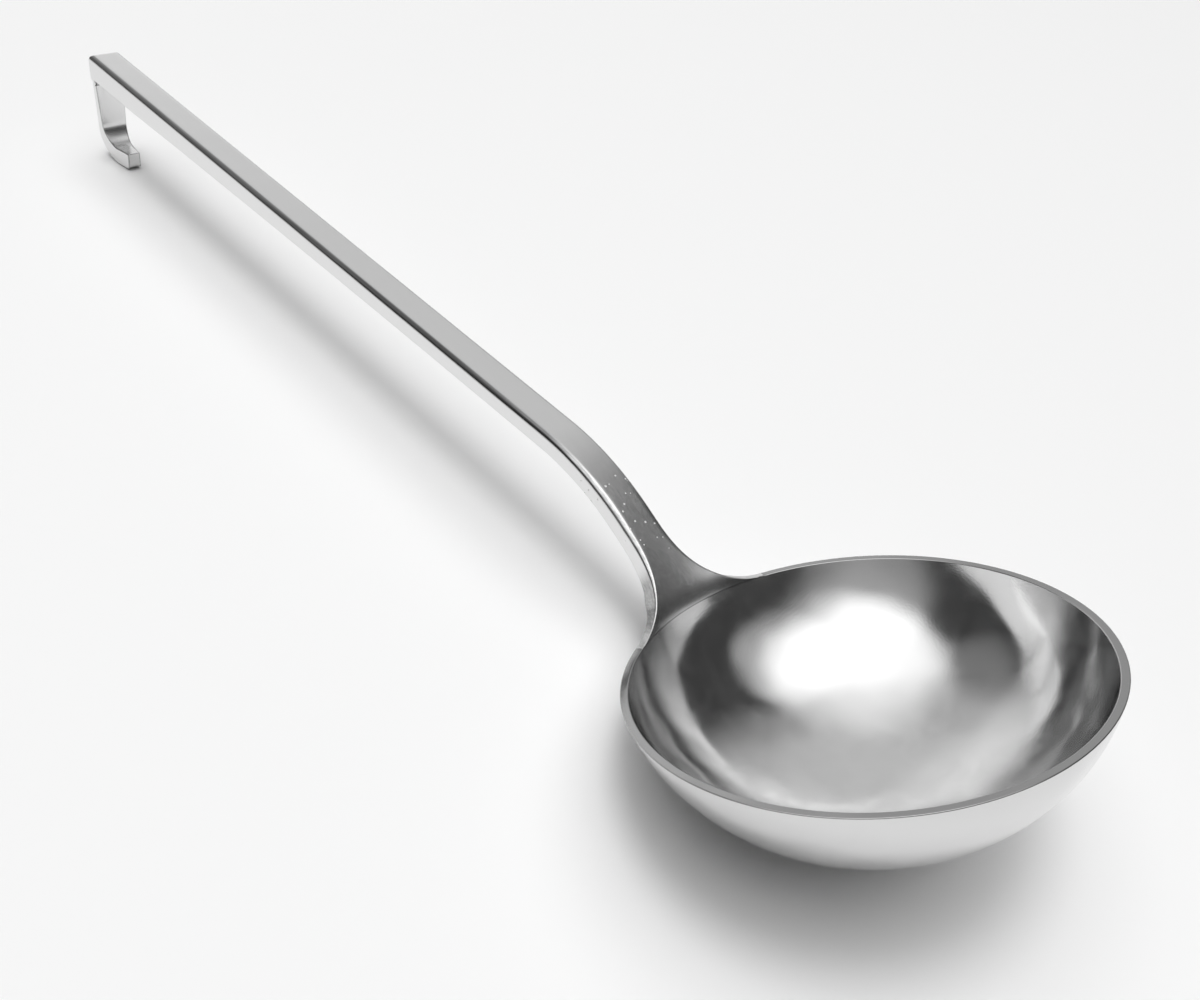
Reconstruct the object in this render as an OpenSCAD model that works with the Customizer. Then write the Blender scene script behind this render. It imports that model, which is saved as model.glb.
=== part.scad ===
// Soup ladle: a deep-drawn sheet bowl, a forged root that flares out of the rim,
// a tapered bar handle with rounded shoulders and a forged hanging hook.
// Millimetres, +Z up. The ladle lies at rest on z = 0, on the bowl's underside
// and on the hook. The handle runs along +X and y = 0 is the plane of symmetry.
// Every piece is drawn in the bowl's own frame (rim plane z = 0, bowl axis on z)
// and then tipped into the resting pose by module at_rest().

// Which piece to draw: all, or the name of one piece

/* [Bowl] */
// Outer radius of the rim
rim_radius = 43.5; // [38:0.5:49]
// Depth of the bowl from the rim plane to its outer underside
bowl_depth = 30.3; // [28.3:0.5:32.3]
// How much the bottom's radius of curvature exceeds that of a plain round cap
bottom_ease = 5.1; // [3:0.1:7]
// How much the side wall's radius of curvature falls short of that cap's
wall_ease = 8.4; // [6:0.1:10]
// Thickness of the drawn sheet
sheet = 1.5; // [1.2:0.1:1.8]

/* [Root and neck] */
// Half angle of the rim that the flared root covers, in degrees
flare_angle = 25; // [18:0.5:28]
// Length of the concave flare, measured up the root from the rim
flare_length = 18; // [15:0.5:21]
// Length over which the root thickens from the sheet to the neck
root_swell = 6; // [5:0.5:14]
// Bend at the foot of the root, where it leaves the line of the bowl's wall
root_bend = 12; // [8:0.5:14]
// Rise of the root above the rim plane, in degrees
root_rise = 52; // [48:0.5:56]
// Straight length between the foot bend and the neck bend
neck_straight = 16.5; // [14:0.5:22]
// Radius of the neck bend, on the top face
neck_bend = 61; // [50:1:75]
// Length of the root piece, from the rim to its joint in the neck bend
root_length = 25; // [22:0.5:28]
// Thickness of the neck at its thinnest, above the flare
neck_thickness = 4.3; // [3.9:0.1:5.2]

/* [Handle bar] */
// Rise of the straight handle above the rim plane, in degrees
handle_rise = 26.2; // [23:0.2:29]
// Length of the straight handle, from the neck bend to its end
handle_length = 208.3; // [180:1:240]
// Width of the bar at the neck
neck_width = 8.8; // [8:0.1:9.6]
// Width of the bar at the hook end
end_width = 9.4; // [9:0.1:11]
// Thickness of the bar at the hook end
end_thickness = 7.3; // [6:0.1:7.8]
// How late the bar thickens on its way to the hook: 1 is evenly, 2 is mostly near the hook
thicken_late = 2; // [1:0.25:2.5]
// Size of the rounded shoulders along the top face, at the neck
shoulder_neck = 1.3; // [1:0.1:1.8]
// Size of the rounded shoulders along the top face, at the hook end
shoulder_end = 1.75; // [1.2:0.05:2]
// Small edge break along the underside
under_edge = 0.4; // [0.3:0.1:0.5]

/* [Hook] */
// Thickness of the hook's tongue
tongue = 2.2; // [1.8:0.1:2.8]
// Reach of the hook below the handle's top face
hook_drop = 32; // [29:0.5:37]
// Length of the hook's foot, from the outer face to its tip
hook_foot = 13.2; // [12.5:0.1:16]
// Thickness of the hook's foot
foot_thickness = 5.2; // [4.6:0.1:6]
// Rounding of the foot's lower edge, at its tip
tip_round = 2; // [1:0.1:3]
// Radius of the hook's inner corner
hook_inner_radius = 5.8; // [4.6:0.1:6.4]
// Radius of the hook's outer corner
hook_outer_radius = 8.4; // [7:0.2:9]
// Width of the tongue where it meets the bar
tongue_width = 8.6; // [7.4:0.2:8.8]
// Width of the hook at its tip
tip_width = 3.8; // [3.2:0.1:5]

/* [Joints] */
// Width of the ground seams between the pieces
seam = 1; // [0.7:0.1:1.3]

/* [Hidden] */
$fn = 96;

// Bowl profile: a bottom arc about c1 and a side arc about c2, tangent to each
// other at the angle split from the axis, ending on the rim. A plain round cap
// through the rim and the underside gives both arcs their size.
cap_radius = (rim_radius * rim_radius + bowl_depth * bowl_depth) / (2 * bowl_depth);
bottom_radius = cap_radius + bottom_ease;
wall_radius = cap_radius - wall_ease;
c1z = bottom_radius - bowl_depth;
gap_r = bottom_radius - wall_radius;
reach = sqrt(rim_radius * rim_radius + c1z * c1z);
split = asin((reach * reach + gap_r * gap_r - wall_radius * wall_radius) / (2 * gap_r * reach))
    - atan2(c1z, rim_radius);
c2 = [gap_r * sin(split), c1z - gap_r * cos(split)];
inner_rim = c2[0] + sqrt(pow(wall_radius - sheet, 2) - c2[1] * c2[1]);
land = rim_radius - inner_rim;

// Path of the top face in the plane of symmetry: foot bend, straight, neck
// bend, straight. Angles are the direction above the rim plane.
wall_rise = 90 - asin(c2[1] / (wall_radius - sheet));
foot_end = root_bend * (wall_rise - root_rise) * PI / 180;
bend_start = foot_end + neck_straight;
bend_end = bend_start + neck_bend * (root_rise - handle_rise) * PI / 180;
bar_end = bend_end + handle_length;
foot_point = [inner_rim + root_bend * (sin(wall_rise) - sin(root_rise)),
    root_bend * (cos(root_rise) - cos(wall_rise))];
bend_point = foot_point + neck_straight * [cos(root_rise), sin(root_rise)];
run_point = bend_point + neck_bend * [sin(root_rise) - sin(handle_rise),
    cos(handle_rise) - cos(root_rise)];

function rise(s) = s <= 0 ? wall_rise
    : s < foot_end ? wall_rise - s / root_bend * 180 / PI
    : s < bend_start ? root_rise
    : s < bend_end ? root_rise - (s - bend_start) / neck_bend * 180 / PI
    : handle_rise;
function on_path(s) = s < foot_end
    ? [inner_rim + root_bend * (sin(wall_rise) - sin(rise(s))),
        root_bend * (cos(rise(s)) - cos(wall_rise))]
    : s < bend_start ? foot_point + (s - foot_end) * [cos(root_rise), sin(root_rise)]
    : s < bend_end ? bend_point + neck_bend * [sin(root_rise) - sin(rise(s)),
        cos(rise(s)) - cos(root_rise)]
    : run_point + (s - bend_end) * [cos(handle_rise), sin(handle_rise)];

// Blends along the bar
function clamp01(v) = max(0, min(1, v));
function ease(v) = clamp01(v) * clamp01(v) * (3 - 2 * clamp01(v));
function mix(a, b, v) = a + (b - a) * v;
function along(s) = clamp01((s - flare_length) / (bar_end - hook_zone - flare_length));
hook_zone = tongue + 12;
function half_width(s) = mix(neck_width, end_width, along(s)) / 2;
function shoulder(s) = s < flare_length
    ? mix(0.3, shoulder_neck, ease(s / flare_length))
    : mix(shoulder_neck, shoulder_end, along(s));
function flat_half(s) = half_width(s) - mix(shoulder_neck, shoulder_end, along(s))
    + flare_add(s);
function flare_add(s) = s >= flare_length ? 0
    : (inner_rim * sin(flare_angle) - neck_width / 2 + shoulder_neck)
        * (1 - sqrt(1 - pow(1 - s / flare_length, 2)));
function thickness(s) = s < root_swell ? mix(land, neck_thickness, ease(s / root_swell))
    : mix(neck_thickness, end_thickness, pow(along(s), thicken_late));
function lean(s) = (rise(s) - 90) * ease(s / (0.45 * flare_length));
function wrap(s) = 1 - ease(s / root_length);

// One cross-section as [y, depth] pairs: top face, shoulder, side, underside
arc_steps = 4;
// with m steps across each half of the top and of the underside
function half_section(s, m, drop) = let (w = flat_half(s), a = shoulder(s), t = thickness(s),
        e = min(under_edge, 0.2 * t))
    concat(
        [for (i = [1 : m]) [w * i / m, -drop]],
        [for (i = [1 : arc_steps]) [w + a * sin(90 * i / arc_steps),
            min(-drop, -a * (1 - cos(90 * i / arc_steps)))]],
        [[w + a, -(t - e)]],
        [for (i = [m : -1 : 1]) [(w + a - e) * i / m, -t]]);
function section(s, m, drop) = let (h = half_section(s, m, drop), n = len(h))
    concat([[0, -drop]], h, [[0, -thickness(s)]],
        [for (i = [n - 1 : -1 : 0]) [-h[i][0], h[i][1]]]);
function ring(s, m = 1, drop = 0) = let (p = on_path(s), g = lean(s), k = wrap(s))
    [for (q = section(s, m, drop)) let (r = p[0] - q[1] * cos(g), z = p[1] - q[1] * sin(g))
        [r - k * (r - sqrt(r * r - q[0] * q[0])), q[0], z]];

// End face of a skin: strips between the top and the underside, then the shoulders
function cap(n, m) = let (h = n / 2, c = h - m)
    concat(
        [for (i = [0 : m - 1]) each [[i, i + 1, h - i - 1], [i, h - i - 1, h - i]]],
        [for (i = [m : c - 2]) [i, i + 1, c]],
        [for (i = [0 : m - 1]) let (a = i == 0 ? 0 : n - i, b = n - i - 1) each
            [[h + i + 1, b, h + i], [h + i, b, a]]],
        [for (i = [m : c - 2]) [n - i - 1, n - i, n - c]]);

function bar_cap(m) = cap(2 * (2 * m + arc_steps + 2), m);

// Skin over a list of rings, closed at both ends by the triangles in ends
module skin(rings, ends) {
    n = len(rings[0]);
    m = len(rings);
    last = (m - 1) * n;
    polyhedron(
        points = [for (r = rings) for (p = r) p],
        faces = concat(
            [for (t = ends) [t[2], t[1], t[0]]],
            [for (i = [0 : m - 2]) for (j = [0 : n - 1]) each [
                [i * n + j, i * n + (j + 1) % n, (i + 1) * n + (j + 1) % n],
                [i * n + j, (i + 1) * n + (j + 1) % n, (i + 1) * n + j]]],
            [for (t = ends) [last + t[0], last + t[1], last + t[2]]]),
        convexity = 6);
}

// Hook: coordinates [u, h] from the end of the top face, u back towards the
// bowl, h up from the top face
end_point = on_path(bar_end);
outer_u = -shoulder_end;
foot_centre = [outer_u - 0.7 + hook_outer_radius, hook_outer_radius - hook_drop];
inner_centre = [outer_u + tongue + hook_inner_radius,
    foot_thickness + hook_inner_radius - hook_drop];
function local(p) = end_point - p[0] * [cos(handle_rise), sin(handle_rise)]
    + p[1] * [-sin(handle_rise), cos(handle_rise)];

// Resting pose: the line that touches the bottom arc of the bowl and the outer
// corner of the hook from below
foot_span = local(foot_centre) - [0, c1z];
tip = atan2(foot_span[1], foot_span[0])
    + asin((bottom_radius - hook_outer_radius) / norm(foot_span));
touch = 270 + handle_rise - tip;
foot_turn = touch + 4;
low_x = -c2[0] * cos(tip) + c2[1] * sin(tip) - wall_radius;
high_x = local(foot_centre) * [cos(tip), sin(tip)] + hook_outer_radius;
module at_rest() {
    translate([-(low_x + high_x) / 2, 0, bottom_radius - c1z * cos(tip)])
        rotate([0, tip, 0]) children();
}

// Points of the bowl's profile, off inside its outer face, from the axis to the rim
bottom_steps = 12;
wall_steps = 16;
function profile(off) = let (last = 90 - asin(c2[1] / (wall_radius - off))) concat(
    [for (i = [0 : bottom_steps]) let (a = split * i / bottom_steps)
        [(bottom_radius - off) * sin(a), c1z - (bottom_radius - off) * cos(a)]],
    [for (i = [1 : wall_steps]) let (a = mix(split, last, i / wall_steps))
        c2 + (wall_radius - off) * [sin(a), -cos(a)]]);

module shell() {
    inside = profile(sheet);
    rotate_extrude() polygon(concat(profile(0),
        [for (i = [len(inside) - 1 : -1 : 0]) inside[i]]));
}

// Wedge of the rim that the ground seam under the root fills
module seam_wedge(up) {
    f = 2 * rim_radius;
    translate([0, 0, -seam]) linear_extrude(height = seam + up)
        polygon([[0, 0], f * [cos(flare_angle), -sin(flare_angle)],
            f * [cos(flare_angle), sin(flare_angle)]]);
}

// Bowl: drawn sheet with a flat ground rim, notched for the seam
module bowl() {
    color([0.72, 0.72, 0.73]) at_rest() difference() {
        shell();
        seam_wedge(1);
    }
}

// Ground seam between the rim and the root
module bowl_weld() {
    color([0.62, 0.62, 0.64]) at_rest() intersection() {
        shell();
        seam_wedge(1);
    }
}

// Forged root: from the rim's arc, through two concave flares, to the bar
flare_steps = 18;
module neck() {
    color([0.66, 0.66, 0.68]) at_rest() skin(concat(
        [for (i = [0 : flare_steps]) ring(flare_length * (1 - cos(90 * i / flare_steps)), 6)],
        [for (i = [1 : 3]) ring(mix(flare_length, root_length, i / 3), 6)]), bar_cap(6));
}

// Ground seam across the bar, in the neck bend
module neck_weld() {
    color([0.62, 0.62, 0.64]) at_rest()
        skin([ring(root_length), ring(root_length + seam)], bar_cap(1));
}

// Bar handle: the rest of the neck bend, the tapered straight and the rounded end
bend_steps = 10;
module shank() {
    color([0.70, 0.70, 0.71]) at_rest() skin(concat(
        [for (i = [0 : bend_steps]) ring(mix(root_length + seam, bend_end, i / bend_steps))],
        [ring(bar_end - hook_zone), ring(bar_end)],
        [for (i = [1 : 4]) ring(bar_end + shoulder_end * sin(90 * i / 4), 1,
            shoulder_end * (1 - cos(90 * i / 4)))]), bar_cap(1));
}

// Rings of the hook: inner point, outer point, half width
function hook_ring(i, o, w) = let (d = (i - o) / norm(i - o), c = 0.35)
    [for (q = [[i - c * d, w], [i, w - c], [i, c - w], [i - c * d, -w],
            [o + c * d, -w], [o, c - w], [o, w - c], [o + c * d, w]])
        let (p = local(q[0])) [p[0], q[1], p[1]]];
hook_cap = [for (i = [1 : 6]) [0, i, i + 1]];
root_h = -end_thickness - seam;
function width_at(v) = mix(tongue_width, tip_width, v) / 2;
turn_steps = 10;
function corner(c, r, a) = c + r * [cos(a), sin(a)];
foot_run = hook_foot + outer_u - foot_centre[0];
foot_dir = [cos(foot_turn - 270), sin(foot_turn - 270)];
foot_up = [-foot_dir[1], foot_dir[0]];

// Ground seam between the handle's underside and the hook
module hook_weld() {
    t = [outer_u, outer_u + tongue];
    color([0.62, 0.62, 0.64]) at_rest() skin([
        hook_ring([t[1], -end_thickness], [t[0], -end_thickness], width_at(0)),
        hook_ring([t[1], root_h], [t[0], root_h], width_at(0))], hook_cap);
}

// Hook: a tongue that narrows as it drops and turns forward into a foot
module hook() {
    color([0.68, 0.68, 0.70]) at_rest() skin(concat(
        [hook_ring([outer_u + tongue, root_h], [outer_u, root_h], width_at(0))],
        [hook_ring([outer_u + tongue, mix(root_h, inner_centre[1], 0.5)],
            [outer_u - 0.3, mix(root_h, foot_centre[1], 0.5)], width_at(0.1))],
        [for (i = [0 : turn_steps]) hook_ring(
            corner(inner_centre, hook_inner_radius, mix(180, touch, i / turn_steps)),
            corner(foot_centre, hook_outer_radius, mix(180, touch, i / turn_steps)),
            width_at(mix(0.2, 0.65, ease(i / turn_steps))))],
        [hook_ring(
            corner(inner_centre, hook_inner_radius, foot_turn),
            corner(foot_centre, hook_outer_radius, foot_turn), width_at(0.72))],
        [for (i = [0 : 4]) let (a = 90 * i / 4, r = foot_run - tip_round * (1 - sin(a)))
            hook_ring(
                corner(inner_centre, hook_inner_radius, foot_turn) + r * foot_dir,
                corner(foot_centre, hook_outer_radius, foot_turn) + r * foot_dir
                    + tip_round * (1 - cos(a)) * foot_up,
                width_at(mix(0.9, 1, i / 4)))]), hook_cap);
}

bowl();
bowl_weld();
neck();
neck_weld();
shank();
hook_weld();
hook();
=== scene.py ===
# %% [markdown]
# # A soup ladle in stainless steel
# The ladle lies at rest: its round bowl at the -X end, its handle running along +X and its
# hook on the floor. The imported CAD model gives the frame, and its source the sizes. Here it
# gets a seamless skin with rounded edges, a metal finish, and the studio that a metal needs.
# Each step first says what the real thing is, then how it is made.

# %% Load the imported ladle
import math
import bpy
import bmesh
from mathutils import Matrix, Vector


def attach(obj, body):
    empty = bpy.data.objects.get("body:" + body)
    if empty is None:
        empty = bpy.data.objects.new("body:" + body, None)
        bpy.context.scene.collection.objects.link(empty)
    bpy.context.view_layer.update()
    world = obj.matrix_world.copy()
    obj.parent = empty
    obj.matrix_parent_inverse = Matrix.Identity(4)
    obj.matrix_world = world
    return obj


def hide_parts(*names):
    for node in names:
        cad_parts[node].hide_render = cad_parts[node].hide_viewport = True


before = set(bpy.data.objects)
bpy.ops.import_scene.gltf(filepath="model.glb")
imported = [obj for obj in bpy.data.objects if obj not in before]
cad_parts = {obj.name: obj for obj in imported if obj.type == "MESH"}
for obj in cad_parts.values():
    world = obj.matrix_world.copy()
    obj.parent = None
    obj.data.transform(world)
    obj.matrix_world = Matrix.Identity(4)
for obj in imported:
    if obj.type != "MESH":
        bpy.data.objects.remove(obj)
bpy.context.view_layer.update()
MM = 0.001
print("nodes:", sorted(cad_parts))

# %% [markdown]
# ## The bowl's own frame
# A ladle is easiest to shape with its bowl level: the rim lies in the plane z = 0 and the
# handle rises toward +X. Everything is drawn there in millimetres, and tipped over onto
# its resting points only at the end. The sizes are those of the CAD source.

# %% Sizes in millimetres
rim_radius, bowl_depth, sheet = 43.5, 30.3, 1.5
bottom_ease, wall_ease = 5.1, 8.4
flare_angle, flare_length = 25.0, 18.0
root_swell, root_bend, root_rise = 6.0, 12.0, 52.0
neck_straight, neck_bend, root_length, neck_thickness = 16.5, 61.0, 25.0, 4.3
handle_rise, handle_length = 26.2, 208.3
neck_width, end_width, end_thickness, thicken_late = 8.8, 9.4, 7.3, 2.0
shoulder_neck, shoulder_end, under_edge = 1.3, 1.75, 0.4
tongue, hook_drop, hook_foot, foot_thickness, tip_round = 2.2, 32.0, 13.2, 5.2, 2.0
hook_inner, hook_outer, tongue_width, tip_width = 5.8, 8.4, 8.6, 3.8
tongue_slant, slant_halfway = 0.7, 0.3     # how far out the tongue's outer face leans
seam, plain_end = 1.0, 12.0                # the bar's end keeps its size over 12 mm and the tongue
lean_share = 0.45                          # of the flare, in which the sections lean over
NEAR = 0.001                               # points closer than this are one


def sin(a):
    return math.sin(math.radians(a))


def cos(a):
    return math.cos(math.radians(a))


def mix(a, b, v):
    return a + (b - a) * v


def ease(v):
    v = max(0.0, min(1.0, v))
    return v * v * (3 - 2 * v)


# the bowl's profile: a shallow bottom arc about (0, c1z) and a tighter wall arc about c2
cap_radius = (rim_radius ** 2 + bowl_depth ** 2) / (2 * bowl_depth)
bottom_radius = cap_radius + bottom_ease
wall_radius = cap_radius - wall_ease
c1z = bottom_radius - bowl_depth
gap_r = bottom_radius - wall_radius
reach = math.hypot(rim_radius, c1z)
split = math.degrees(
    math.asin((reach ** 2 + gap_r ** 2 - wall_radius ** 2) / (2 * gap_r * reach))
    - math.atan2(c1z, rim_radius))
c2 = (gap_r * sin(split), c1z - gap_r * cos(split))
inner_rim = c2[0] + math.sqrt((wall_radius - sheet) ** 2 - c2[1] ** 2)
land = rim_radius - inner_rim
print("bowl arcs: bottom %.1f mm, wall %.1f mm, rim land %.2f mm"
      % (bottom_radius, wall_radius, land))

# %% [markdown]
# ## The line of the handle
# Seen from the side, the handle's top face starts in line with the bowl's wall, straightens
# into the neck, bends over and runs straight to the hook. A distance s along that line says
# where a cross-section stands, how wide and thick it is, and how big its shoulders are.

# %% Path and cross-section of the handle
wall_rise = 90 - math.degrees(math.asin(c2[1] / (wall_radius - sheet)))
foot_end = math.radians(root_bend * (wall_rise - root_rise))
bend_start = foot_end + neck_straight
bend_end = bend_start + math.radians(neck_bend * (root_rise - handle_rise))
bar_end = bend_end + handle_length
hook_zone = tongue + plain_end


def rise(s):
    """Direction of the top face above the rim plane, in degrees."""
    if s <= foot_end:
        return wall_rise - math.degrees(max(s, 0) / root_bend)
    if s <= bend_start:
        return root_rise
    return max(handle_rise, root_rise - math.degrees((s - bend_start) / neck_bend))


def on_path(s):
    """Point of the top face's middle line, as (x, z)."""
    a = rise(s)
    x = inner_rim + root_bend * (sin(wall_rise) - sin(max(a, root_rise)))
    z = root_bend * (cos(max(a, root_rise)) - cos(wall_rise))
    straight = min(max(s - foot_end, 0), neck_straight)
    bent = min(a, root_rise)
    x += straight * cos(root_rise) + neck_bend * (sin(root_rise) - sin(bent))
    z += straight * sin(root_rise) + neck_bend * (cos(bent) - cos(root_rise))
    run = max(s - bend_end, 0)
    return x + run * cos(handle_rise), z + run * sin(handle_rise)


def along(s):
    return max(0.0, min(1.0, (s - flare_length) / (bar_end - hook_zone - flare_length)))


def shoulder(s):
    if s < flare_length:
        return shoulder_neck * ease(s / flare_length)
    return mix(shoulder_neck, shoulder_end, along(s))


def flare(s):
    if s >= flare_length:
        return 0.0
    full = inner_rim * sin(flare_angle) - neck_width / 2 + shoulder_neck
    return full * (1 - math.sqrt(1 - (1 - s / flare_length) ** 2))


def half_width(s):
    bar = mix(neck_width, end_width, along(s)) / 2
    return bar - mix(shoulder_neck, shoulder_end, along(s)) + flare(s) + shoulder(s)


def thickness(s):
    if s < root_swell:
        return mix(land, neck_thickness, ease(s / root_swell))
    return mix(neck_thickness, end_thickness, along(s) ** thicken_late)


def lean(s):
    return (rise(s) - 90) * ease(s / (lean_share * flare_length))


def wrap(s):
    return 1 - ease(s / root_length)


def in_section(s, y, depth):
    """Point of the cross-section at s: y across the handle, depth below the top face."""
    px, pz = on_path(s)
    r, z = px + depth * cos(lean(s)), pz + depth * sin(lean(s))
    return Vector((r - wrap(s) * (r - math.sqrt(r * r - y * y)), y, z))


print("handle: %.1f mm along the top face, bend from %.1f to %.1f mm"
      % (bar_end, bend_start, bend_end))

# %% [markdown]
# ## The bowl: spun, then ground flat
# The bowl is read as pressed from sheet, here 1.5 mm, trimmed, and ground flat on the rim.
# A full circle of cross-sections could be typed in, but one operator draws it in two steps:
# spin sweeps one vertex into the profile's arcs, and then turns the profile about the bowl's
# axis. Solidify gives the sheet its thickness, and bisect_plane is the grinder.

# %% Spin the bowl's outside, thicken it and grind the rim
TURN = 144                       # steps of 2.5 degrees, so the root's edges fall on one
STEP = 360 / TURN
BOTTOM_STEPS, WALL_STEPS = 12, 22
past_rim = 92                    # degrees up from the lowest point: the grinder takes the rest
skin = bmesh.new()
tip_vert = skin.verts.new((0, 0, -bowl_depth))
for centre, degrees, steps in (((0, 0, c1z), split, BOTTOM_STEPS),
                               ((c2[0], 0, c2[1]), past_rim - split, WALL_STEPS)):
    arc = bmesh.ops.spin(skin, geom=[tip_vert], cent=centre, axis=(0, -1, 0),
                         angle=math.radians(degrees), steps=steps)
    tip_vert = [g for g in arc["geom_last"] if isinstance(g, bmesh.types.BMVert)][0]
bmesh.ops.spin(skin, geom=skin.verts[:] + skin.edges[:], cent=(0, 0, 0), axis=(0, 0, 1),
               angle=math.radians(360), steps=TURN, use_merge=True)
bmesh.ops.remove_doubles(skin, verts=skin.verts[:], dist=NEAR)
bmesh.ops.recalc_face_normals(skin, faces=skin.faces[:])
bmesh.ops.solidify(skin, geom=skin.faces[:], thickness=sheet)
bmesh.ops.bisect_plane(skin, geom=skin.verts[:] + skin.edges[:] + skin.faces[:], dist=NEAR / 10,
                       plane_co=(0, 0, 0), plane_no=(0, 0, 1), clear_outer=True)
open_edges = [e for e in skin.edges if e.is_boundary]
rim_faces = bmesh.ops.bridge_loops(skin, edges=open_edges)["faces"]
bmesh.ops.recalc_face_normals(skin, faces=skin.faces[:])
radii = [math.hypot(v.co.x, v.co.y) for f in rim_faces for v in f.verts]
print("bowl:", len(skin.faces), "faces, rim land of", len(rim_faces), "faces")
print("rim land from radius %.3f to %.3f mm, lowest point %.3f mm"
      % (min(radii), max(radii), min(v.co.z for v in skin.verts)))

# %% [markdown]
# ## Root, neck and bar: one extrusion after another
# The root is read as forged, welded to the rim and ground until no step is left. So the
# skin simply grows out of the rim: the rim faces that the root covers are extruded
# again and again, and each time the new section is laid out across the path. The two
# hollow flares come from the widths, and because the first sections leave the rim
# tangentially, bowl and root share one smooth surface.

# %% Grow the handle out of the rim
SIDE = int(flare_angle / STEP)            # columns of faces on each side of the middle
BOWL, NECK, SHANK, HOOK = 0, 1, 2, 3      # marks on the faces, for the cut at the end
last = (SIDE - 1) * STEP                  # degrees to the last column before the root's edge
shoulder_room = 1.3                       # that column stays 1.3 shoulders off the edge
under_match = 4.0                         # from here up, the underside is as wide as the top


def meridian(v):
    """Number of the column of vertices that v stands in, counted from the middle."""
    return round(math.degrees(math.atan2(v.co.y, v.co.x)) / STEP)


def column_y(j, s, under):
    """Distance of column j from the middle, leaving room at the edge for the shoulder."""
    if abs(j) == SIDE:
        y = half_width(s)
    else:
        room = min(sin(last) / sin(flare_angle) * half_width(s),
                   half_width(s) - shoulder_room * shoulder(s))
        y = room * abs(sin(j * STEP)) / sin(last)
    if under:
        y *= mix(rim_radius / inner_rim, 1, ease(s / under_match))
    return math.copysign(y, j)


def spot(co, digits=4):
    """A place, rounded so that it can be looked up."""
    return tuple(round(c, digits) for c in co)


def extrude(faces, rows):
    """Extrude faces and hand each vertex's row and column on to its copy."""
    known = {spot(v.co): key for v, key in rows.items()}
    new = bmesh.ops.extrude_face_region(skin, geom=faces)["geom"]
    bmesh.ops.delete(skin, geom=faces, context="FACES")
    return ([g for g in new if isinstance(g, bmesh.types.BMFace)],
            {g: known[spot(g.co)] for g in new if isinstance(g, bmesh.types.BMVert)})


FLARE_STEPS, BEND_STEPS, BAR_STEPS = 22, 24, 10
weld_at = root_length + seam        # the neck ends with its weld
stations = [flare_length * (1 - cos(90 * i / FLARE_STEPS)) for i in range(1, FLARE_STEPS + 1)]
stations += [mix(flare_length, bend_end, i / BEND_STEPS) for i in range(1, BEND_STEPS + 1)]
stations += [mix(bend_end, bar_end - hook_zone, i / BAR_STEPS) for i in range(1, BAR_STEPS + 1)]
stations += [weld_at, bar_end + shoulder_end - tongue, bar_end + shoulder_end]
where = {}                                # vertex: (distance along the handle, under, column)
cap = [f for f in rim_faces if all(abs(meridian(v)) <= SIDE for v in f.verts)]
rows = {v: (math.hypot(v.co.x, v.co.y) > (inner_rim + rim_radius) / 2, meridian(v))
        for f in cap for v in f.verts}
for s in sorted(stations):
    known = set(skin.faces)
    cap, rows = extrude(cap, rows)
    for v, (under, j) in rows.items():
        v.co = in_section(s, column_y(j, s, under), thickness(s) if under else 0.0)
        where[v] = (s, under, j)
    for f in set(skin.faces) - known:
        f.material_index = NECK if s <= weld_at else SHANK
print("handle:", len(stations), "sections of", len(rows), "vertices")

# %% [markdown]
# ## The hook: the same tongue of metal, turned forward
# Under the bar's end sits a thin tongue, read as welded on. It narrows as it drops, and
# turns forward into a foot that the ladle also rests on. It starts from the strip of faces
# under the bar's end, so the weld's hollow corner can be rounded like any edge.

# %% Lay out the hook's sections
end_x, end_z = on_path(bar_end)
outer_u = -shoulder_end
foot_centre = (outer_u - tongue_slant + hook_outer, hook_outer - hook_drop)
inner_centre = (outer_u + tongue + hook_inner, foot_thickness + hook_inner - hook_drop)
root_h = -end_thickness - seam


def local(u, h):
    """Point (x, z) from u, back along the bar from its end, and h, up from its top face."""
    return (end_x - u * cos(handle_rise) - h * sin(handle_rise),
            end_z - u * sin(handle_rise) + h * cos(handle_rise))


# the resting pose: the line that touches the bowl's bottom arc and the hook's corner
fx, fz = local(*foot_centre)
tip = math.degrees(math.atan2(fz - c1z, fx)
                   + math.asin((bottom_radius - hook_outer) / math.hypot(fx, fz - c1z)))
touch = 270 + handle_rise - tip
foot_turn = touch + 4               # the foot turns 4 degrees past the point it rests on
foot_run = hook_foot + outer_u - foot_centre[0]
foot_dir = (cos(foot_turn - 270), sin(foot_turn - 270))


def width_at(narrowed):
    """Half the hook's width, narrowed from 0 at the weld to 1 at the tip."""
    return mix(tongue_width, tip_width, narrowed) / 2


def corner(c, r, a, run=0.0):
    """Point on the circle about c, moved on along the foot by run."""
    return c[0] + r * cos(a) + run * foot_dir[0], c[1] + r * sin(a) + run * foot_dir[1]


# each section: its inner edge, its outer edge, and half its width
CURVE_STEPS = 14
curve_start, curve_end = 0.2, 0.65  # how much of the narrowing is done there
off_tip = tip_round * 1.15          # the last section but one stays clear of the round tip
turns = [((outer_u + tongue, root_h), (outer_u, root_h), width_at(0)),
         ((outer_u + tongue, (root_h + inner_centre[1]) / 2),
          (outer_u - slant_halfway, (root_h + foot_centre[1]) / 2), width_at(0.1))]
for i in range(CURVE_STEPS + 1):
    a = mix(180, touch, i / CURVE_STEPS)
    turns.append((corner(inner_centre, hook_inner, a), corner(foot_centre, hook_outer, a),
                  width_at(mix(curve_start, curve_end, ease(i / CURVE_STEPS)))))
for run, narrowed in ((0.0, 0.72), (foot_run - off_tip, 0.9), (foot_run, 1.0)):
    turns.append((corner(inner_centre, hook_inner, foot_turn, run),
                  corner(foot_centre, hook_outer, foot_turn, run), width_at(narrowed)))
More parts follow.
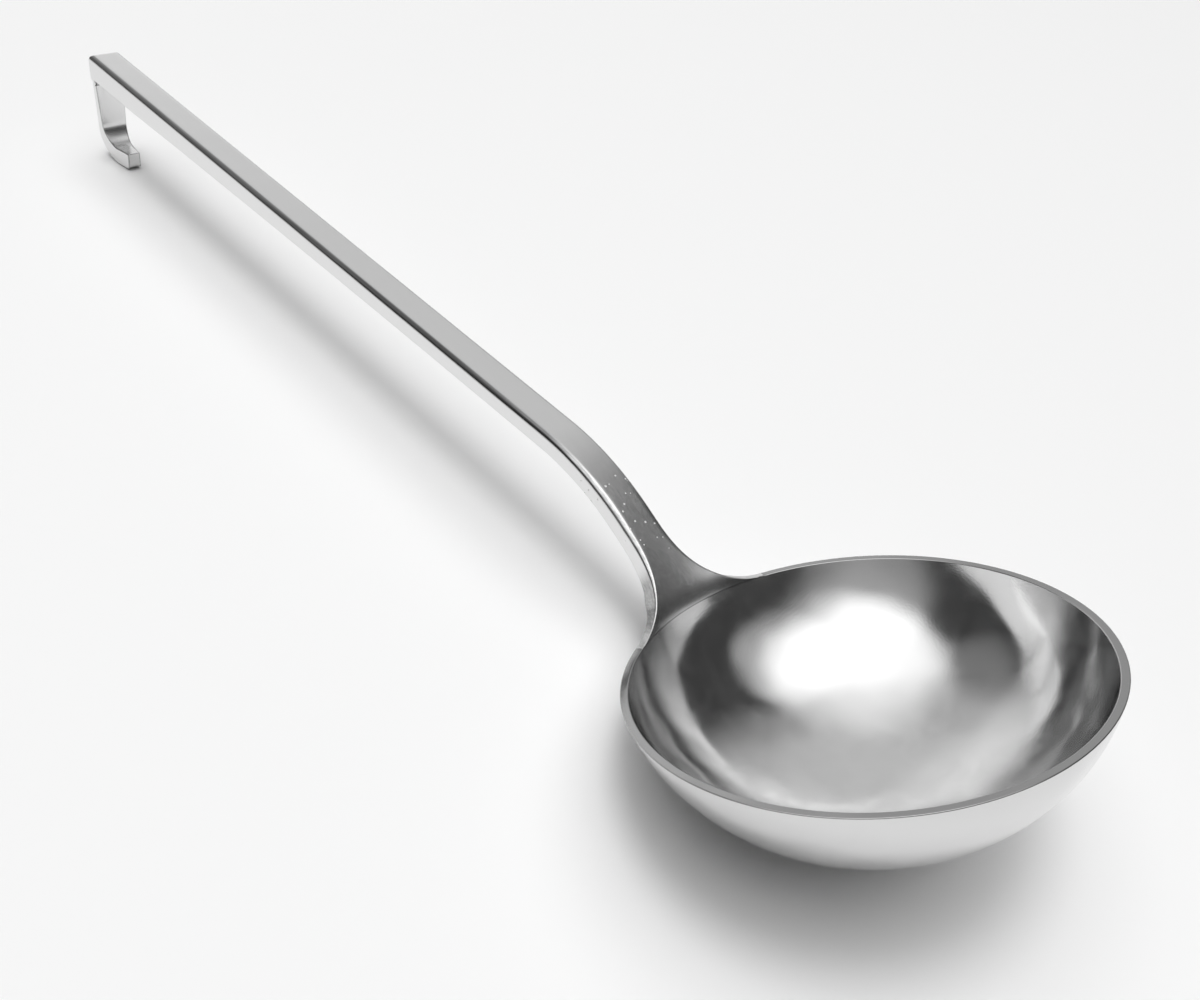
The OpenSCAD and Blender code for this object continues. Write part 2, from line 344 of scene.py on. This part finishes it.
print("hook:", len(turns), "sections; the ladle tips %.2f degrees to rest" % tip)

# %% Extrude the strip under the bar's end along those sections
hook_start = bar_end + shoulder_end - tongue
cap = [f for f in skin.faces if all(where.get(v, (0, 0, 0))[0] >= hook_start - NEAR
                                    and where[v][1] for v in f.verts)]
rows = {v: (where[v][0] > hook_start + NEAR, where[v][2]) for f in cap for v in f.verts}
hooked = {}                               # vertex: (turn, outer face)
for k, (inner, outer, w) in enumerate(turns):
    known = set(skin.faces)
    cap, rows = extrude(cap, rows)
    for v, (out, j) in rows.items():
        x, z = local(*(outer if out else inner))
        v.co = (x, w * j / SIDE, z)
        hooked[v] = (k, out)
    for f in set(skin.faces) - known:
        f.material_index = HOOK
bmesh.ops.recalc_face_normals(skin, faces=skin.faces[:])
print("whole skin:", len(skin.faces), "faces; open edges:",
      sum(not e.is_manifold for e in skin.edges))

# %% [markdown]
# ## Edges that catch the light
# No edge of finished steel is sharp: each one carries a thin line of light or dark, and the
# bar's long shoulders are rounded so far that they read as a band of their own. A Bevel
# modifier does all of it, with a weight on each edge for its size in millimetres.
# Weighted Normal then keeps the flat faces flat between their rounded edges.

# %% Weigh the edges by their size
WIDEST = 2.0
ground_edge, hook_edge, hook_outer_edge, weld_fillet = 0.22, 0.3, 0.45, 1.6
under_share = 0.2                # at most this share of the thickness is rounded underneath
edge_fold = 38                   # degrees: a fold sharper than this is an edge
weight = skin.edges.layers.float.new("bevel_weight_edge")


def on_hook(v):
    """Section and side of a vertex of the hook; -1 is the bar's end that it grows from."""
    return hooked.get(v, (-1, where.get(v, (0, 0, 0))[0] > hook_start + NEAR))


def edge_size(e):
    """How far this edge is rounded, in millimetres."""
    a, b = e.verts
    if a in hooked or b in hooked:
        (turn_a, outer_a), (turn_b, outer_b) = on_hook(a), on_hook(b)
        if turn_a == turn_b == len(turns) - 1 and outer_a and outer_b:
            return tip_round
        return hook_outer_edge if outer_a and outer_b else hook_edge
    if a in where and b in where:
        (sa, ua), (sb, ub) = where[a][:2], where[b][:2]
        if ua and ub:
            inside = abs(sa - hook_start) < NEAR and abs(sb - hook_start) < NEAR
            return weld_fillet if inside else min(under_edge, under_share * thickness(sa))
        if ua != ub:
            return under_edge
        if sa == sb:
            return shoulder_end
        return max(ground_edge, shoulder((sa + sb) / 2))
    return ground_edge


counts = {}
for e in skin.edges:
    if e.is_manifold and e.calc_face_angle() > math.radians(edge_fold):
        size = edge_size(e)
        e[weight] = size / WIDEST
        counts[round(size, 1)] = counts.get(round(size, 1), 0) + 1
print("rounded edges by size in mm:", counts)

# %% Round them, in a workshop object in millimetres
def set_up(name, bm):
    """Make a bmesh an object of the scene, and let go of it."""
    mesh = bpy.data.meshes.new(name)
    bm.to_mesh(mesh)
    bm.free()
    thing = bpy.data.objects.new(name, mesh)
    bpy.context.scene.collection.objects.link(thing)
    return thing


workshop = set_up("workshop", skin)
rough = workshop.data
rough.polygons.foreach_set("use_smooth", [True] * len(rough.polygons))
rounding = workshop.modifiers.new("rounding", "BEVEL")
rounding.limit_method, rounding.width, rounding.segments = "WEIGHT", WIDEST, 6
rounding.profile, rounding.use_clamp_overlap, rounding.miter_outer = 0.5, False, "MITER_SHARP"
flatten = workshop.modifiers.new("flatten", "WEIGHTED_NORMAL")
flatten.mode, flatten.keep_sharp = "FACE_AREA", False
bpy.context.view_layer.update()
graph = bpy.context.evaluated_depsgraph_get()
skin_mesh = bpy.data.meshes.new_from_object(workshop.evaluated_get(graph))
bpy.data.objects.remove(workshop)
print("rounded skin:", len(skin_mesh.polygons), "faces")

# %% Tip the skin onto its resting points, in metres
low_x = -c2[0] * cos(tip) + c2[1] * sin(tip) - wall_radius
high_x = fx * cos(tip) + fz * sin(tip) + hook_outer
at_rest = (Matrix.Scale(MM, 4)
           @ Matrix.Translation((-(low_x + high_x) / 2, 0, bottom_radius - c1z * cos(tip)))
           @ Matrix.Rotation(math.radians(tip), 4, "Y"))
skin_mesh.transform(at_rest)
for name, end in (("lowest", min), ("highest", max)):
    print(name, "corner:", [round(end(v.co[i] for v in skin_mesh.vertices) / MM, 2)
                            for i in range(3)], "mm")

# %% [markdown]
# ## Cut at the welds
# The ladle is read as a bowl, a root, a bar and a hook welded together, so the skin is cut
# at the welds into those four pieces, each closed with a flat face like a sawn bar. Each
# keeps the shading normals that it had in the whole skin, so no seam shows: the real welds
# are ground flush, without a step.

# %% Cut the skin into its pieces
DIGITS = 7                       # a tenth of a micrometre, in metres
whole = {spot(v.co, DIGITS): n.vector.copy()
         for v, n in zip(skin_mesh.vertices, skin_mesh.vertex_normals)}
whole.update({spot(skin_mesh.vertices[loop.vertex_index].co, DIGITS): n.vector.copy()
              for loop, n in zip(skin_mesh.loops, skin_mesh.corner_normals)})


def cut_piece(name, mark, nodes):
    """Cut out the faces with this mark, close the cuts, and put the piece on the ladle."""
    bm = bmesh.new()
    bm.from_mesh(skin_mesh)
    bmesh.ops.delete(bm, geom=[f for f in bm.faces if f.material_index != mark], context="FACES")
    skinned = set(bm.faces)
    bmesh.ops.triangle_fill(bm, edges=[e for e in bm.edges if e.is_boundary], use_beauty=True)
    for f in bm.faces:
        f.smooth = True
        f.material_index = 0 if f in skinned else 1
    bmesh.ops.recalc_face_normals(bm, faces=bm.faces[:])
    if bm.calc_volume(signed=True) < 0:
        bmesh.ops.reverse_faces(bm, faces=bm.faces[:])
    volume = bm.calc_volume(signed=True) / MM ** 3
    piece = set_up(name, bm)
    mesh = piece.data
    normals = [p.normal if p.material_index else whole[spot(mesh.vertices[i].co, DIGITS)]
               for p in mesh.polygons for i in p.vertices]
    mesh.polygons.foreach_set("material_index", [0] * len(mesh.polygons))
    mesh.normals_split_custom_set(normals)
    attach(piece, "root")
    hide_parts(*nodes)
    print("%s: %d faces, %.0f mm3, for %s" % (name, len(mesh.polygons), volume, nodes))
    return piece


bowl = cut_piece("ladle_bowl", BOWL, ["bowl", "bowl_weld"])
neck = cut_piece("ladle_neck", NECK, ["neck", "neck_weld"])
shank = cut_piece("ladle_shank", SHANK, ["shank"])
hook = cut_piece("ladle_hook", HOOK, ["hook", "hook_weld"])
bpy.data.meshes.remove(skin_mesh)

# %% [markdown]
# ## Finishes
# All the steel is bare and stainless: a nearly neutral grey that mirrors its surroundings.
# What tells the pieces apart is the polish, so each finish is one metal with its own roughness,
# waves and grain, laid out in millimetres on the ladle itself. The rim land and the bar's
# shoulders also get painted shade in their base colour.

# %% Colours and node trees
def srgb(text):
    """A colour written as sRGB hex, as the linear values that Blender wants."""
    parts = [int(text[i:i + 2], 16) / 255 for i in (1, 3, 5)]
    return [c / 12.92 if c <= 0.04045 else ((c + 0.055) / 1.055) ** 2.4 for c in parts] + [1.0]


def add(tree, kind, settings=None, inputs=None):
    """Add a node, set its properties, and set or link its inputs."""
    node = tree.nodes.new(kind)
    for name, value in (settings or {}).items():
        setattr(node, name, value)
    for name, value in (inputs or {}).items():
        if isinstance(value, bpy.types.NodeSocket):
            tree.links.new(value, node.inputs[name])
        else:
            node.inputs[name].default_value = value
    return node


NOISE = {"From Min": 0.3, "From Max": 0.7}     # nearly all of a noise texture lies between
# The darker grey of the rim is painted shade, for the dark reflection on the rim land
drawn_steel, painted_rim_shade = srgb("#DADADA"), srgb("#A8A8A8")
# The darker grey of the shoulders is painted shade, for the dark reflection on the bar's shoulders
forged_steel, shoulder_shade_grey = srgb("#E2E2E2"), srgb("#8C8C8C")
print("steel in linear light:", [round(c, 3) for c in drawn_steel[:3]])

# %% [markdown]
# ### The bowl: drawn sheet, polished
# Such a sheet is usually drawn in a press and buffed. Buffing leaves it slightly wavy, so
# reflections bend and streak instead of lying still. The soft glow in the bottom is read as
# a duller polish there, so the roughness grows toward the lowest point.

# %% Polished drawn stainless steel
polished = bpy.data.materials.new("polished_drawn_stainless_steel")
polished.use_nodes = True
tree = polished.node_tree
shader = tree.nodes["Principled BSDF"]
shader.inputs["Metallic"].default_value = 1.0
place = add(tree, "ShaderNodeTexCoord").outputs["Object"]
# Swells 14 mm apart: they give the mirrored light its soft, uneven border
swell = add(tree, "ShaderNodeTexNoise", inputs={
    "Vector": place, "Scale": 1 / 0.014, "Detail": 1.0})
# A 320 grit grain is 0.05 mm apart; drawn at 0.45 mm, or it wouldn't show. It sparkles a little
grain = add(tree, "ShaderNodeTexNoise", inputs={
    "Vector": place, "Scale": 1 / 0.00045, "Detail": 3.0})
# Patches 7 mm across are rubbed more or less: they give the grey its clouds
rubbed = add(tree, "ShaderNodeTexNoise", inputs={
    "Vector": place, "Scale": 1 / 0.007, "Detail": 2.0, "Distortion": 1.0})
# Dull within 18 mm of the lowest point, bright from 38 mm out: a soft glow inside a clear wall
lowest = at_rest @ Vector((0, 0, -bowl_depth))
outward = add(tree, "ShaderNodeVectorMath", {"operation": "DISTANCE"}, {0: place, 1: lowest})
dull = add(tree, "ShaderNodeMapRange", {"interpolation_type": "SMOOTHSTEP"}, {
    "Value": outward.outputs["Value"], "From Min": 0.018, "From Max": 0.038,
    "To Min": 0.20, "To Max": 0.13})
patches = add(tree, "ShaderNodeMapRange", inputs=NOISE | {
    "Value": rubbed.outputs["Fac"], "To Min": 0.75, "To Max": 1.25})
roughness = add(tree, "ShaderNodeMath", {"operation": "MULTIPLY"}, {
    0: patches.outputs["Result"], 1: dull.outputs["Result"]})
tree.links.new(roughness.outputs["Value"], shader.inputs["Roughness"])
waves = add(tree, "ShaderNodeBump", inputs={"Height": swell.outputs["Fac"], "Distance": 0.0004})
fine = add(tree, "ShaderNodeBump", inputs={
    "Height": grain.outputs["Fac"], "Distance": 0.000006, "Normal": waves.outputs["Normal"]})
tree.links.new(fine.outputs["Normal"], shader.inputs["Normal"])
print("bowl finish:", len(tree.nodes), "nodes, lowest point", [round(v, 4) for v in lowest])

# %% The rim land, painted darker
# It shows as a grey line between two bright walls. Its top 0.2 mm gets a darker base colour,
# painted shade that stands in for the dark reflection there
upright = at_rest.to_3x3() @ Vector((0, 0, 1))
upright.normalize()
rim_shade_from = upright.dot(at_rest @ Vector((0, 0, -0.2)))
level = add(tree, "ShaderNodeVectorMath", {"operation": "DOT_PRODUCT"}, {0: place, 1: upright})
rim_shade_mask = add(tree, "ShaderNodeMath", {"operation": "GREATER_THAN"}, {
    0: level.outputs["Value"], 1: rim_shade_from})
# painted shade: the rim land's top is mixed to a darker grey
tint = add(tree, "ShaderNodeMix", {"data_type": "RGBA"}, {
    0: rim_shade_mask.outputs["Value"], 6: drawn_steel, 7: painted_rim_shade})
tree.links.new(tint.outputs[2], shader.inputs["Base Color"])
print("the rim is tinted above", round(rim_shade_from / MM, 2), "mm along the bowl's axis")

# %% [markdown]
# ### The handle: forged bar, ground satin
# The root, bar and hook are read as forged, then ground on a belt that runs along the bar.
# The belt leaves the top face satin, with faint lines; shoulders and sides are brighter.
# Small pale specks lie in the neck, beside the seam where the root joins the bar.

# %% Satin forged stainless steel
satin = bpy.data.materials.new("satin_forged_stainless_steel")
satin.use_nodes = True
tree = satin.node_tree
shader = tree.nodes["Principled BSDF"]
place = add(tree, "ShaderNodeTexCoord").outputs["Object"]
# Belt lines 20 mm long and 0.1 mm apart, drawn 0.5 mm apart: a faint silk along the bar
stretched = add(tree, "ShaderNodeMapping", inputs={
    "Vector": place, "Scale": (1 / 0.02, 1 / 0.0005, 1 / 0.0005)})
lines = add(tree, "ShaderNodeTexNoise", inputs={
    "Vector": stretched.outputs["Vector"], "Scale": 1.0, "Detail": 3.0})
# Hollows 9 mm apart, such as forging leaves: they break up the long straight reflections
hollows = add(tree, "ShaderNodeTexNoise", inputs={
    "Vector": place, "Scale": 1 / 0.009, "Detail": 2.0})
# How far the surface faces across the bar: 0 on the top face, 1 on a side
sideways = add(tree, "ShaderNodeSeparateXYZ", inputs={
    "Vector": add(tree, "ShaderNodeTexCoord").outputs["Normal"]}).outputs["Y"]
across = add(tree, "ShaderNodeMath", {"operation": "ABSOLUTE"}, {0: sideways}).outputs["Value"]
# Shoulders and sides are read as buffed, and so smoother than the top face
polish = add(tree, "ShaderNodeMapRange", {"interpolation_type": "SMOOTHSTEP"}, {
    "Value": across, "From Min": 0.1, "From Max": 0.3, "To Min": 1.0, "To Max": 0.6})
silk = add(tree, "ShaderNodeMapRange", inputs=NOISE | {
    "Value": lines.outputs["Fac"], "To Min": 0.22, "To Max": 0.27})
roughness = add(tree, "ShaderNodeMath", {"operation": "MULTIPLY"}, {
    0: silk.outputs["Result"], 1: polish.outputs["Result"]})
tree.links.new(roughness.outputs["Value"], shader.inputs["Roughness"])
print("satin so far:", len(tree.nodes), "nodes")

# %% The dark line of the shoulder
# The rounded shoulder shows as a dark streaky line, deeper than a mirror of the room gives. Its
# base colour is darkened there, painted shade streaked along the belt lines
turned = add(tree, "ShaderNodeMapRange", {"interpolation_type": "SMOOTHSTEP"}, {
    "Value": across, "From Min": 0.10, "From Max": 0.45, "To Max": 0.9})
square = add(tree, "ShaderNodeMapRange", {"interpolation_type": "SMOOTHSTEP"}, {
    "Value": across, "From Min": 0.93, "From Max": 0.99, "To Min": 1.0, "To Max": 0.0})
streaks = add(tree, "ShaderNodeMapRange", inputs=NOISE | {
    "Value": lines.outputs["Fac"], "To Min": 0.6, "To Max": 1.0})
band = add(tree, "ShaderNodeMath", {"operation": "MULTIPLY"}, {
    0: turned.outputs["Result"], 1: square.outputs["Result"]})
painted_shoulder_shade = add(tree, "ShaderNodeMath", {"operation": "MULTIPLY"}, {
    0: band.outputs["Value"], 1: streaks.outputs["Result"]})
# painted shade: the shoulder band is mixed toward a dark grey
tint = add(tree, "ShaderNodeMix", {"data_type": "RGBA"}, {
    0: painted_shoulder_shade.outputs["Value"], 6: forged_steel, 7: shoulder_shade_grey})
tree.links.new(tint.outputs[2], shader.inputs["Base Color"])
print("with the shoulder:", len(tree.nodes), "nodes")

# %% Pits beside the neck seam
# Pits up to 0.5 mm wide, one in 1.8 mm at most, thinning out over 18 mm. What makes the real
# ones pale isn't known; here they don't mirror, which gives pale specks on dark steel
seam_x, seam_z = on_path(root_length)
seam_at = at_rest @ Vector((seam_x, 0, seam_z))
cells = add(tree, "ShaderNodeTexVoronoi", inputs={"Vector": place, "Scale": 1 / 0.0018})
from_seam = add(tree, "ShaderNodeVectorMath", {"operation": "DISTANCE"}, {0: place, 1: seam_at})
widest = add(tree, "ShaderNodeMapRange", {"interpolation_type": "SMOOTHSTEP"}, {
    "Value": from_seam.outputs["Value"], "From Min": 0.004, "From Max": 0.018,
    "To Min": 0.15, "To Max": 0.0})
pits = add(tree, "ShaderNodeMath", {"operation": "LESS_THAN"}, {
    0: cells.outputs["Distance"], 1: widest.outputs["Result"]})
mirroring = add(tree, "ShaderNodeMath", {"operation": "SUBTRACT"}, {
    0: 1.0, 1: pits.outputs["Value"]})
tree.links.new(mirroring.outputs["Value"], shader.inputs["Metallic"])
soft = add(tree, "ShaderNodeBump", inputs={
    "Height": hollows.outputs["Fac"], "Distance": 0.00008})
pitted = add(tree, "ShaderNodeBump", {"invert": True}, {
    "Height": pits.outputs["Value"], "Distance": 0.00006, "Normal": soft.outputs["Normal"]})
fine = add(tree, "ShaderNodeBump", inputs={
    "Height": lines.outputs["Fac"], "Distance": 0.000003, "Normal": pitted.outputs["Normal"]})
tree.links.new(fine.outputs["Normal"], shader.inputs["Normal"])
print("handle finish:", len(tree.nodes), "nodes, neck seam at", [round(v, 4) for v in seam_at])

# %% Put the finishes on
for piece, slot, finish in ((bowl, "drawn_steel", polished), (neck, "forged_steel", satin),
                            (shank, "forged_steel", satin), (hook, "forged_steel", satin)):
    piece.data.materials.append(finish)
    print(piece.name, "wears", finish.name)

# %% [markdown]
# ## The table
# The ladle lies on a sheet of white paper, wide enough to reach past the picture and to be
# mirrored in the bar's sides, which it turns nearly white.

# %% Lay the paper
sheet_of_paper = bmesh.new()
bmesh.ops.create_grid(sheet_of_paper, x_segments=1, y_segments=1, size=20.0)
floor = set_up("floor", sheet_of_paper)
paper = bpy.data.materials.new("white_paper")
paper.use_nodes = True
shader = paper.node_tree.nodes["Principled BSDF"]
shader.inputs["Base Color"].default_value = srgb("#F4F4F4")
shader.inputs["Roughness"].default_value = 0.9
floor.data.materials.append(paper)
print("paper:", tuple(round(v, 1) for v in floor.dimensions), "m")

# %% [markdown]
# ## The room
# Bare metal shows the room, not a colour of its own, and the room isn't in the photo. Its
# patches are set so that the mirrored tones come near the photo's: a dim room, a pale wall
# beyond the bowl, some light overhead. A real room would light the paper too; here the paper
# has a plain soft dome of its own, so that shadows and reflections can be set apart.

# %% The room in the metal
def toward(zenith, azimuth):
    """Direction at this angle from straight up, turned this far from +X toward +Y."""
    return Vector((sin(zenith) * cos(azimuth), sin(zenith) * sin(azimuth), cos(zenith)))


world = bpy.data.worlds.new("studio")
bpy.context.scene.world = world
world.use_nodes = True
room = world.node_tree
compass = add(room, "ShaderNodeTexCoord").outputs["Generated"]
light = 0.055                       # the dim room between its patches
# Each patch: its place as two angles, where it is full and where it ends, and its strength
for zenith, azimuth, inner, outer, strength in (
        (0, 0, 0, 35, 0.22),        # the ceiling
        (14, 200, 0, 32, 0.75),     # a skylight in it
        (50, 108, 0, 42, 0.40),     # a screen on the camera's side
        (68, 325, 0, 56, 0.60),     # a pale wall beyond the bowl
        (65, 25, 0, 27, 0.18),      # a dim screen to its left
        (98, 345, 10, 40, 0.40)):   # the foot of that wall
    way = toward(zenith, azimuth)
    near = add(room, "ShaderNodeVectorMath", {"operation": "DOT_PRODUCT"}, {0: compass, 1: way})
    patch = add(room, "ShaderNodeMapRange", {"interpolation_type": "SMOOTHSTEP"}, {
        "Value": near.outputs["Value"], "From Min": cos(outer), "From Max": cos(inner),
        "To Max": strength})
    light = add(room, "ShaderNodeMath", {"operation": "ADD"}, {
        0: patch.outputs["Result"], 1: light}).outputs["Value"]
    print("patch of strength", strength, "toward", [round(v, 2) for v in way])

# %% The dome that lights the paper
# Full within 26 degrees of straight up and gone at 42, so that the ladle's shadows stay soft
up = add(room, "ShaderNodeSeparateXYZ", inputs={"Vector": compass}).outputs["Z"]
dome = add(room, "ShaderNodeMapRange", {"interpolation_type": "SMOOTHSTEP"}, {
    "Value": up, "From Min": cos(42), "From Max": cos(26), "To Max": 2.38})
path = add(room, "ShaderNodeLightPath")
split_light = add(room, "ShaderNodeMix", {"data_type": "FLOAT"}, {
    "Factor": path.outputs["Is Glossy Ray"], "A": dome.outputs["Result"], "B": light})
# The camera itself sees plain white beyond the paper's far edge
seen = add(room, "ShaderNodeMix", {"data_type": "FLOAT"}, {
    "Factor": path.outputs["Is Camera Ray"], "A": split_light.outputs["Result"], "B": 1.0})
room.nodes["Background"].inputs["Color"].default_value = srgb("#FFFFFF")
room.links.new(seen.outputs["Result"], room.nodes["Background"].inputs["Strength"])
print("room:", len(room.nodes), "nodes")

# %% [markdown]
# ## The lamp
# One round soft lamp hangs 3 m above the ladle, 0.2 m toward the camera's side, so that the
# bar's shadow falls about where the photo has it. The metal doesn't mirror this lamp; it has
# a card of its own.

# %% Hang the lamp
lamp = bpy.data.lights.new("overhead", "AREA")
lamp.shape, lamp.size, lamp.energy = "DISK", 1.0, 22.5
hung = bpy.data.objects.new("overhead", lamp)
hung.visible_glossy = False
overhead, height = toward(4, 70), 3
hung.location = overhead * height
hung.rotation_euler = overhead.to_track_quat("Z", "Y").to_euler()
bpy.context.scene.collection.objects.link(hung)
print("lamp at", [round(v, 2) for v in hung.location])

# %% [markdown]
# ## The card
# What the real bowl mirrors isn't known. Here its soft white spot is the mirror image of a
# lit card close above it. The card is brightest in its middle and fades to nothing at its
# edge, so the spot has no outline. Only the metal sees it: it throws no light on the paper.

# %% Hang the card
card_at, card_radius = Vector((-0.065, 0.09, 0.2)), 0.24
disc = bmesh.new()
bmesh.ops.create_circle(disc, cap_ends=True, segments=64, radius=card_radius,
                        matrix=Matrix.Translation(card_at))
bmesh.ops.reverse_faces(disc, faces=disc.faces[:])      # it faces down
card = set_up("card", disc)
card.visible_camera = card.visible_diffuse = card.visible_shadow = False
print("card at", [round(v, 3) for v in card_at],
      "facing", [round(v, 2) for v in card.data.polygons[0].normal])

# %% Light the card
lit = bpy.data.materials.new("lit_card")
lit.use_nodes = True
tree = lit.node_tree
tree.nodes.remove(tree.nodes["Principled BSDF"])
away = add(tree, "ShaderNodeVectorMath", {"operation": "DISTANCE"}, {
    0: add(tree, "ShaderNodeTexCoord").outputs["Object"], 1: card_at})
bright = add(tree, "ShaderNodeMapRange", {"interpolation_type": "SMOOTHSTEP"}, {
    "Value": away.outputs["Value"], "From Min": 0.04, "From Max": 0.225,
    "To Min": 1.35, "To Max": 0.0})
shine = add(tree, "ShaderNodeEmission", inputs={"Strength": bright.outputs["Result"]})
clear = add(tree, "ShaderNodeBsdfTransparent")
both = add(tree, "ShaderNodeAddShader", inputs={
    0: shine.outputs["Emission"], 1: clear.outputs["BSDF"]})
tree.links.new(both.outputs["Shader"], tree.nodes["Material Output"].inputs["Surface"])
card.data.materials.append(lit)
print("card finish:", len(tree.nodes), "nodes")

# %% [markdown]
# ## The camera
# The photo was taken from above the bowl's side of the ladle, close by, so the handle
# narrows strongly toward the hook. The lens and the place were solved from the rim's
# circle and the bar's straight edges.

# %% Stand the camera where the photo was taken
eye = Vector((-0.18383, 0.14536, 0.18313))
ahead = Vector((0.49482, -0.57997, -0.64714))
above = Vector((0.55738, -0.35951, 0.74838))
camera = bpy.data.objects.new("camera", bpy.data.cameras.new("camera"))
bpy.context.scene.collection.objects.link(camera)
right = ahead.cross(above).normalized()
above = right.cross(ahead).normalized()
camera.matrix_world = Matrix((right, above, -ahead)).transposed().to_4x4()
camera.location = eye
camera.data.sensor_width, camera.data.lens = 36.0, 35.586
camera.data.clip_start = 0.01
bpy.context.scene.camera = camera
bpy.context.scene.view_settings.view_transform = "Standard"
print("camera", round(eye.length, 3), "m from the middle of the ladle")
